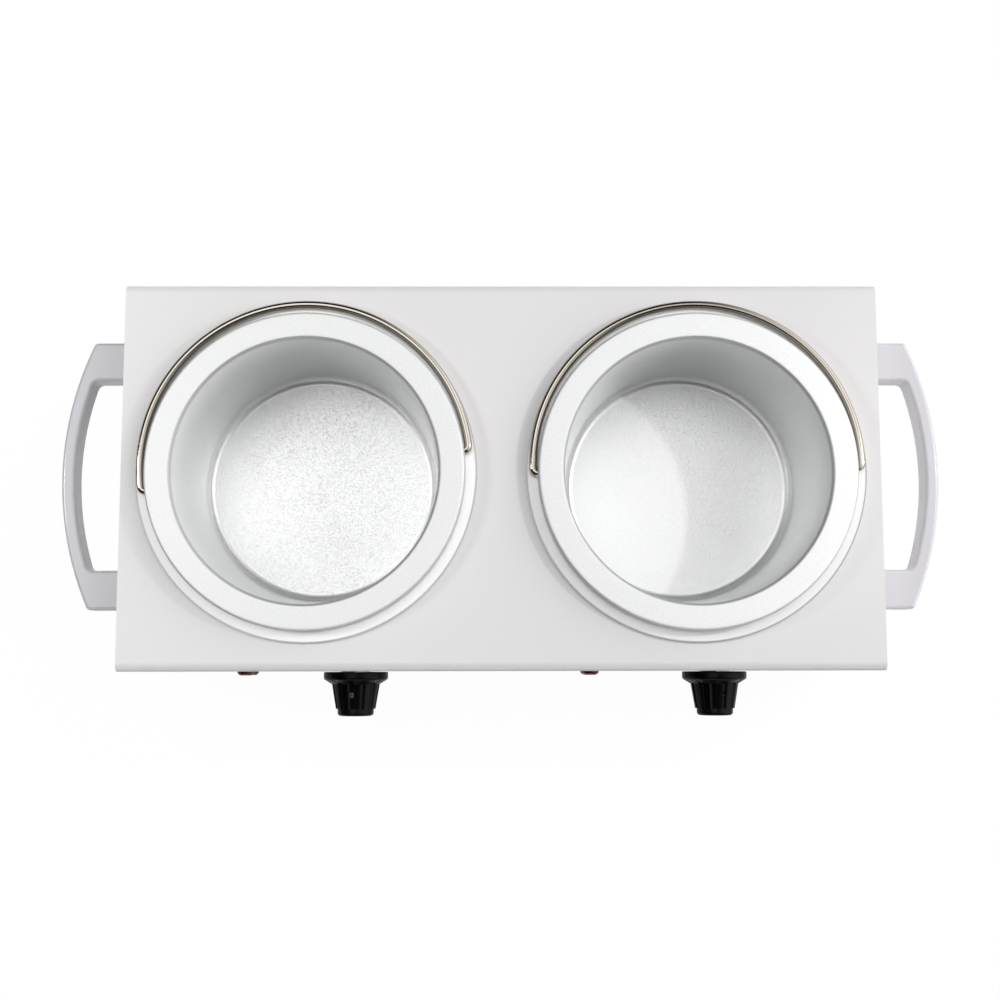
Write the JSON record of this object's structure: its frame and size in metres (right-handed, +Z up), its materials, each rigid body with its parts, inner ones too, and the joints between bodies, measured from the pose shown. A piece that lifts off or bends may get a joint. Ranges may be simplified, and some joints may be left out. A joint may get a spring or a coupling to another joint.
{
  "type": "double wax warmer",
  "caption": "Box-shaped table warmer with two lift-out pots side by side, each with a wire bail, a front dial, two lamps, and a D-handle at each end.",
  "frame": {"origin": "on the table, under the centre of the whole object's bounding box, knobs and inlet included; the casing's middle is 9.2 mm behind it", "axes": "+X to the user's right, along the casing's length; -Y towards the user, where the knobs are; +Z up out of the pots"},
  "size_m": [0.4352, 0.2146, 0.129],
  "materials": {
    "cover_paint": "powder coat, pale grey, semi-gloss",
    "well_enamel": "white heat-proof coat, semi-gloss",
    "pot_aluminium": "pressed aluminium, fine matt bloom",
    "bail_wire": "nickel-plated wire, bright",
    "handle_plastic": "moulded, light grey, glossy",
    "knob_plastic": "moulded, black, glossy",
    "red_lens": "tinted lens, glossy",
    "green_lens": "tinted lens, glossy",
    "black_nylon": "moulded, satin",
    "foot_rubber": "moulded, matt",
    "zinc_steel": "zinc plated",
    "galvanised_base": "galvanised sheet",
    "heater_steel": "stainless band, heat-tinted",
    "glass_wool": "woven glass blanket",
    "white_ceramic": "phenolic and ceramic, matt",
    "copper": "drawn copper",
    "pin_brass": "nickelled brass",
    "rocker_plastic": "moulded, black, glossy"
  },
  "bodies": {
    "housing": {"base_plate": "galvanised_base", "base_screws": "zinc_steel", "block_screws": "zinc_steel", "cover": "cover_paint", "cutout_straps": "zinc_steel", "earth_nut": "zinc_steel", "earth_stud": "zinc_steel", "end_panel_left": "cover_paint", "end_panel_right": "cover_paint", "foot_nuts": "zinc_steel", "foot_screws": "zinc_steel", "handle_left": "handle_plastic", "handle_right": "handle_plastic", "handle_screws": "zinc_steel", "heater_left": "heater_steel", "heater_nuts": "zinc_steel", "heater_right": "heater_steel", "heater_screws": "zinc_steel", "inlet_housing": "black_nylon", "inlet_nuts": "zinc_steel", "inlet_pins": "pin_brass", "inlet_screws": "zinc_steel", "lagging_left": "glass_wool", "lagging_right": "glass_wool", "lamp_bodies": "black_nylon", "lamp_clips": "zinc_steel", "lamp_green_left": "green_lens", "lamp_green_right": "green_lens", "lamp_red_left": "red_lens", "lamp_red_right": "red_lens", "rubber_feet": "foot_rubber", "sensor_left": "copper", "sensor_right": "copper", "stud_nuts": "zinc_steel", "stud_spacers": "zinc_steel", "stud_washers": "zinc_steel", "switch_housing": "black_nylon", "terminal_block": "white_ceramic", "thermal_cutout_left": "white_ceramic", "thermal_cutout_right": "white_ceramic", "thermostat_left": "white_ceramic", "thermostat_nuts": "zinc_steel", "thermostat_right": "white_ceramic", "well_left": "well_enamel", "well_right": "well_enamel", "well_studs": "zinc_steel"},
    "pot_left": {"pot_left": "pot_aluminium"},
    "pot_right": {"pot_right": "pot_aluminium"},
    "bail_left": {"bail_left": "bail_wire"},
    "bail_right": {"bail_right": "bail_wire"},
    "knob_left": {"knob_left": "knob_plastic", "thermostat_shaft_left": "zinc_steel", "grub_screw_left": "zinc_steel"},
    "knob_right": {"knob_right": "knob_plastic", "thermostat_shaft_right": "zinc_steel", "grub_screw_right": "zinc_steel"},
    "rocker": {"switch_rocker": "rocker_plastic"}
  },
  "joints": [
    {"name": "pot_left_lift", "type": "slide", "parent": "housing", "child": "pot_left", "axis": [0, 0, 1], "range_m": [0, 0.1]},
    {"name": "bail_left_swing", "type": "hinge", "parent": "pot_left", "child": "bail_left", "pos_m": [-0.0935, 0.0106, 0.1243], "axis": [0.9919, 0.1271, 0], "range_deg": [0, 180.8]},
    {"name": "knob_left_turn", "type": "hinge", "parent": "housing", "child": "knob_left", "pos_m": [-0.0743, -0.0843, 0.063], "axis": [0, 1, 0], "range_deg": [0, 270]},
    {"name": "pot_right_lift", "type": "slide", "parent": "housing", "child": "pot_right", "axis": [0, 0, 1], "range_m": [0, 0.1]},
    {"name": "bail_right_swing", "type": "hinge", "parent": "pot_right", "child": "bail_right", "pos_m": [0.0935, 0.0106, 0.1243], "axis": [0.9999, 0.0157, 0], "range_deg": [0, 180.8]},
    {"name": "knob_right_turn", "type": "hinge", "parent": "housing", "child": "knob_right", "pos_m": [0.1094, -0.0843, 0.063], "axis": [0, 1, 0], "range_deg": [0, 270]},
    {"name": "rocker_tilt", "type": "hinge", "parent": "housing", "child": "rocker", "pos_m": [-0.022, 0.1015, 0.036], "axis": [1, 0, 0], "range_deg": [0, 20]}
  ]
}
